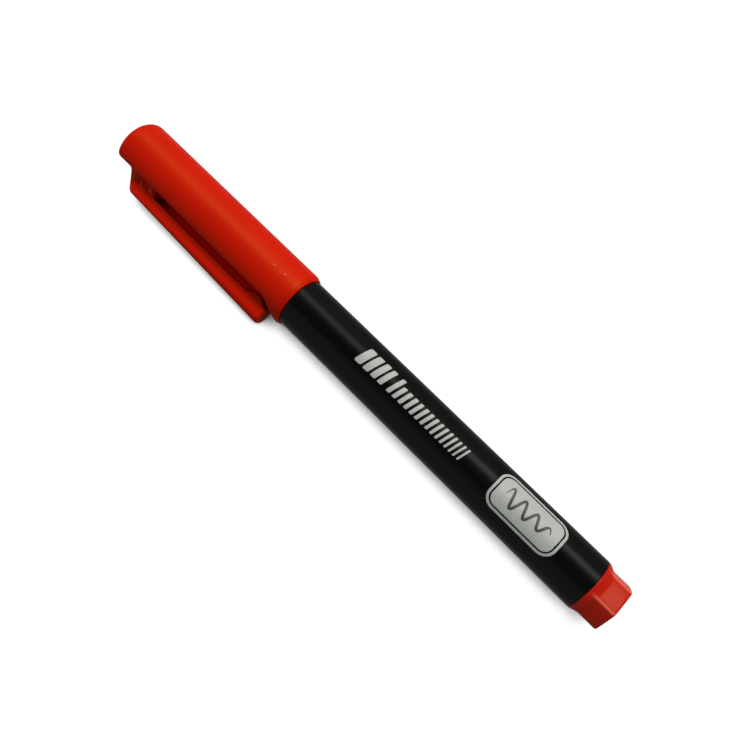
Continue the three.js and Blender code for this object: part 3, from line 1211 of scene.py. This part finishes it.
# %% Inner cup
cup_bore = cup_radius - cup_wall
cup_floor = cup_low.x + cup_wall
cup_drawing = bmesh.new()
turned(
    cup_drawing,
    [
        (cup_low.x, 0, 0),
        (cup_low.x, cup_radius, soft_round),
        (cup_high.x, cup_radius, edge_round),
        (cup_high.x, cup_bore, edge_round),
        (cup_floor, cup_bore, soft_round),
        (cup_floor, 0, 0),
    ],
    hidden_segments,
)
inner_cup = finished(cup_drawing, "inner_cup", on_axis, cup_plastic)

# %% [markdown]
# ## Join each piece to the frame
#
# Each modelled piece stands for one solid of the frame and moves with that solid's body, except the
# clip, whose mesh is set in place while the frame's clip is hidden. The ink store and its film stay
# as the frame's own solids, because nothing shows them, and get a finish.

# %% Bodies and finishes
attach(cap_shell, "cap")
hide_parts("cap")
for piece in (mould_specks, root_ribs):
    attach(piece, "cap")

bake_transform(clip_bar)
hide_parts("cap_clip")

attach(inner_cup, "inner_cap")
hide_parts("inner_cap")

for piece, node, slot in (
    (barrel_tube, "barrel", "barrel_plastic"),
    (nib_holder, "nib_holder", "holder_plastic"),
    (nib_point, "nib", "nib_fibre"),
    (plug_head, "end_plug", "plug_plastic"),
):
    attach(piece, "barrel")
    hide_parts(node)
for piece in (bar_print, panel_print, wave_print):
    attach(piece, "barrel")

for node, material in (("ink_reservoir", core_fibre), ("reservoir_film", film_plastic)):
    kept = frame["nodes"][node]
    kept.data.materials.clear()
    kept.data.materials.append(material)

# %% [markdown]
# ## Table
#
# The photograph's background is pure white. A floor lit until it turns white would need far more
# light than the pen wants, so the table glows by itself, but only for rays that look at it:
# straight from the camera, mirrored, or through something clear. A strength of 1 is white. The glow
# fades where something stands close above the table, which gives a painted soft contact shadow, and
# the plain diffuse part takes the lamps' own shadow. Under the slot below the clip, the deep shadow
# of the closed cap is painted red on the table, as painted bounce light from the red plastic round
# it. Where nothing stands close above, as with the cap pulled off, the table stays white.

# %% Table
floor_half = 3.0
floor_drawing = bmesh.new()
bmesh.ops.create_grid(floor_drawing, x_segments=1, y_segments=1, size=floor_half)
floor_mesh = bpy.data.meshes.new("table_top")
floor_drawing.to_mesh(floor_mesh)
floor_drawing.free()
floor = new_object("table_top", floor_mesh)
print("table is", 2 * floor_half, "m wide")


def looking_rays(tree):
    """One for camera, mirrored and transmitted rays, zero for the rays that carry light."""
    path = add_node(tree, "ShaderNodeLightPath").outputs
    seen = path["Is Camera Ray"]
    for kind in ("Is Glossy Ray", "Is Transmission Ray"):
        seen = add_node(
            tree, "ShaderNodeMath", operation="MAXIMUM", links={0: seen, 1: path[kind]}
        ).outputs["Value"]
    return seen


# %% Contact shadow
contact_reach = 5 * mm
shadow_samples = 8
full_shadow = 0.12
no_shadow = 0.5
table_white = 0.97
floor_material, floor_tree = new_material("pale_table")
contact = add_node(
    floor_tree,
    "ShaderNodeAmbientOcclusion",
    samples=shadow_samples,
    inputs={"Distance": contact_reach},
)
whiteness = add_node(
    floor_tree,
    "ShaderNodeMapRange",
    inputs={
        "From Min": full_shadow,
        "From Max": no_shadow,
        "To Min": 0.0,
        "To Max": table_white,
    },
    links={"Value": contact.outputs["AO"]},
)
glow_strength = add_node(
    floor_tree,
    "ShaderNodeMath",
    operation="MULTIPLY",
    links={0: whiteness.outputs["Result"], 1: looking_rays(floor_tree)},
)

# %% [markdown]
# The painted red bounce is laid where two things hold: plastic stands within two millimetres above,
# and the spot lies under the slot. Each side of the slot has a soft edge, given by the place where
# the bounce starts and the place where it is full.

# %% Painted red bounce under the slot
bounce_reach = 2 * mm
bounce_along_cap = (7.4, 8.8)
bounce_before_tip = (0.8, 1.8)
bounce_clip_side = (-4.2, -3.4)
bounce_cap_side = (0.8, 0.2)
slot_edges = (
    ("X", [cap_low.x + along * mm for along in bounce_along_cap]),
    ("X", [cap_low.x + (clip_tip - back) * mm for back in bounce_before_tip]),
    ("Y", [axis_y + across * mm for across in bounce_clip_side]),
    ("Y", [axis_y + across * mm for across in bounce_cap_side]),
)
close_above = add_node(
    floor_tree,
    "ShaderNodeAmbientOcclusion",
    samples=shadow_samples,
    inputs={"Distance": bounce_reach},
)
painted_bounce_mask = add_node(
    floor_tree,
    "ShaderNodeMapRange",
    inputs={"From Min": 1.0, "From Max": 0.9},
    links={"Value": close_above.outputs["AO"]},
).outputs["Result"]
table_place = add_node(floor_tree, "ShaderNodeTexCoord").outputs["Object"]
table_spot = add_node(floor_tree, "ShaderNodeSeparateXYZ", links={"Vector": table_place})
for side, (outside, inside) in slot_edges:
    within = add_node(
        floor_tree,
        "ShaderNodeMapRange",
        inputs={"From Min": outside, "From Max": inside},
        links={"Value": table_spot.outputs[side]},
    )
    painted_bounce_mask = add_node(
        floor_tree,
        "ShaderNodeMath",
        operation="MINIMUM",
        links={0: painted_bounce_mask, 1: within.outputs["Result"]},
    ).outputs["Value"]
print("bounce is laid inside", len(slot_edges), "soft edges")

# %% Table finish
# The bounced colours are painted red light in the glow and painted red shade in the diffuse part.
glow_tint, lit_tint = [
    add_node(
        floor_tree,
        "ShaderNodeMix",
        data_type="RGBA",
        inputs={"A": colour(plain), "B": colour(bounced)},
        links={"Factor": painted_bounce_mask},
    ).outputs["Result"]
    for plain, bounced in (("#ffffff", "#cc0f05"), ("#5a5958", "#4a0502"))
]
lit_table = add_node(floor_tree, "ShaderNodeBsdfDiffuse", links={"Color": lit_tint})
glow = add_node(
    floor_tree,
    "ShaderNodeEmission",
    links={"Color": glow_tint, "Strength": glow_strength.outputs["Value"]},
)
table_surface = add_node(
    floor_tree,
    "ShaderNodeAddShader",
    links={0: lit_table.outputs["BSDF"], 1: glow.outputs["Emission"]},
)
add_node(
    floor_tree, "ShaderNodeOutputMaterial", links={"Surface": table_surface.outputs["Shader"]}
)
floor_mesh.materials.append(floor_material)
print("table finish has", len(floor_tree.nodes), "nodes")

# %% [markdown]
# ## Light
#
# The pen shows the light of its studio as bands along its length. A strip lamp almost overhead
# makes the main band, a weaker one at the side away from the clip carries it on to the upper edge,
# and a small lamp brightens it towards the plug. The strips reach further towards the cap than
# towards the plug, so the cap's rim, which faces the plug, stays dark. The room fills the shadows
# evenly. Behind the table a white backdrop rises a third of the way up. Mirrored rays see it too,
# but above its top they see the dim room, and that keeps the black barrel black.

# %% Strip lamps
pen_middle = Vector(((cap_low.x + plug_high.x) / 2, axis_y, axis_z))


def strip_lamp(name, shift, elevation, width, height, watts, tint):
    """A rectangular lamp a metre away on the +Y side. It faces the pen's line, shifted along it."""
    lamp = bpy.data.lights.new(name, "AREA")
    lamp.shape = "RECTANGLE"
    lamp.size = width
    lamp.size_y = height
    lamp.energy = watts
    lamp.color = colour(tint)[:3]
    box = new_object(name, lamp)
    away = Vector((0, math.cos(math.radians(elevation)), math.sin(math.radians(elevation))))
    box.location = pen_middle + away + x_way * shift
    box.rotation_mode = "QUATERNION"
    box.rotation_quaternion = (-away).to_track_quat("-Z", "Y")
    print(name, "stands", round(elevation), "degrees up and gives", watts, "W")


strip_lamp(
    "overhead_strip",
    shift=-0.25,
    elevation=84,
    width=1.3,
    height=0.36,
    watts=8.4,
    tint="#fffcf6",
)
strip_lamp(
    "side_strip",
    shift=-0.25,
    elevation=48,
    width=1.3,
    height=0.72,
    watts=2.5,
    tint="#fffcf6",
)
strip_lamp(
    "small_lamp",
    shift=0.13,
    elevation=80,
    width=0.42,
    height=0.2,
    watts=1.8,
    tint="#ffffff",
)

# %% Room and backdrop
backdrop_full = math.radians(18)
backdrop_top = math.radians(30)
room_strength = 0.3
world = bpy.data.worlds.new("room")
bpy.context.scene.world = world
world.use_nodes = True
room = world.node_tree
room.nodes.clear()
view_way = add_node(room, "ShaderNodeTexCoord").outputs["Generated"]
height_of_view = add_node(room, "ShaderNodeSeparateXYZ", links={"Vector": view_way})
below_top = add_node(
    room,
    "ShaderNodeMapRange",
    inputs={
        "From Min": math.sin(backdrop_full),
        "From Max": math.sin(backdrop_top),
        "To Min": 1.0,
        "To Max": 0.0,
    },
    links={"Value": height_of_view.outputs["Z"]},
)
mirrored_backdrop = add_node(
    room,
    "ShaderNodeMath",
    operation="MULTIPLY",
    links={0: looking_rays(room), 1: below_top.outputs["Result"]},
)
camera_rays = add_node(room, "ShaderNodeLightPath").outputs["Is Camera Ray"]
backdrop_share = add_node(
    room,
    "ShaderNodeMath",
    operation="MAXIMUM",
    links={0: mirrored_backdrop.outputs["Value"], 1: camera_rays},
)
dim_room = add_node(
    room,
    "ShaderNodeBackground",
    inputs={"Color": colour("#f4f5f6"), "Strength": room_strength},
)
white_backdrop = add_node(
    room, "ShaderNodeBackground", inputs={"Color": colour("#ffffff"), "Strength": 1.0}
)
room_or_backdrop = add_node(
    room,
    "ShaderNodeMixShader",
    links={
        0: backdrop_share.outputs["Value"],
        1: dim_room.outputs["Background"],
        2: white_backdrop.outputs["Background"],
    },
)
add_node(room, "ShaderNodeOutputWorld", links={"Surface": room_or_backdrop.outputs["Shader"]})
print("room has", len(room.nodes), "nodes")

# %% [markdown]
# ## Camera
#
# The photograph looks down at the clip's side view from 142 mm above the pen. The camera stands
# over a foot point on the axis past the middle of the barrel and tilts back towards the cap. Its
# roll lays the pen from the upper left to the lower right of the square picture.

# %% Camera
picture_pixels = 750
focal_pixels = 732
sensor_mm = 36
camera_height = 141.93 * mm
foot_along = mouth + 50.63
camera_tilt = math.radians(11.54)
pen_roll = math.radians(44.3)
side_slip_pixels = 0.73
nearest_seen = 5 * mm
furthest_seen = 20

foot = on_cap @ Vector((foot_along, 0, 0))
drooped = Matrix.Rotation(droop, 3, "X")
up = drooped @ z_way
clip_way = drooped @ -y_way
looks = -(up * math.cos(camera_tilt) + x_way * math.sin(camera_tilt))
runs = x_way * math.cos(camera_tilt) - up * math.sin(camera_tilt)
right = runs * math.cos(pen_roll) - clip_way * math.sin(pen_roll)

camera_data = bpy.data.cameras.new("photo_camera")
camera_data.sensor_fit = "HORIZONTAL"
camera_data.sensor_width = sensor_mm
camera_data.lens = focal_pixels / picture_pixels * sensor_mm
camera_data.clip_start = nearest_seen
camera_data.clip_end = furthest_seen
camera = new_object("photo_camera", camera_data)
slip = side_slip_pixels / focal_pixels
looks = (looks - clip_way * slip).normalized()
right = (right - looks * right.dot(looks)).normalized()
down = looks.cross(right)
camera_axes = Matrix((right, -down, -looks)).transposed().to_4x4()
camera.matrix_world = Matrix.Translation(foot + up * camera_height) @ camera_axes
bpy.context.scene.camera = camera
bpy.context.scene.view_settings.view_transform = "Standard"
print("camera at", [round(value / mm, 1) for value in camera.matrix_world.translation])
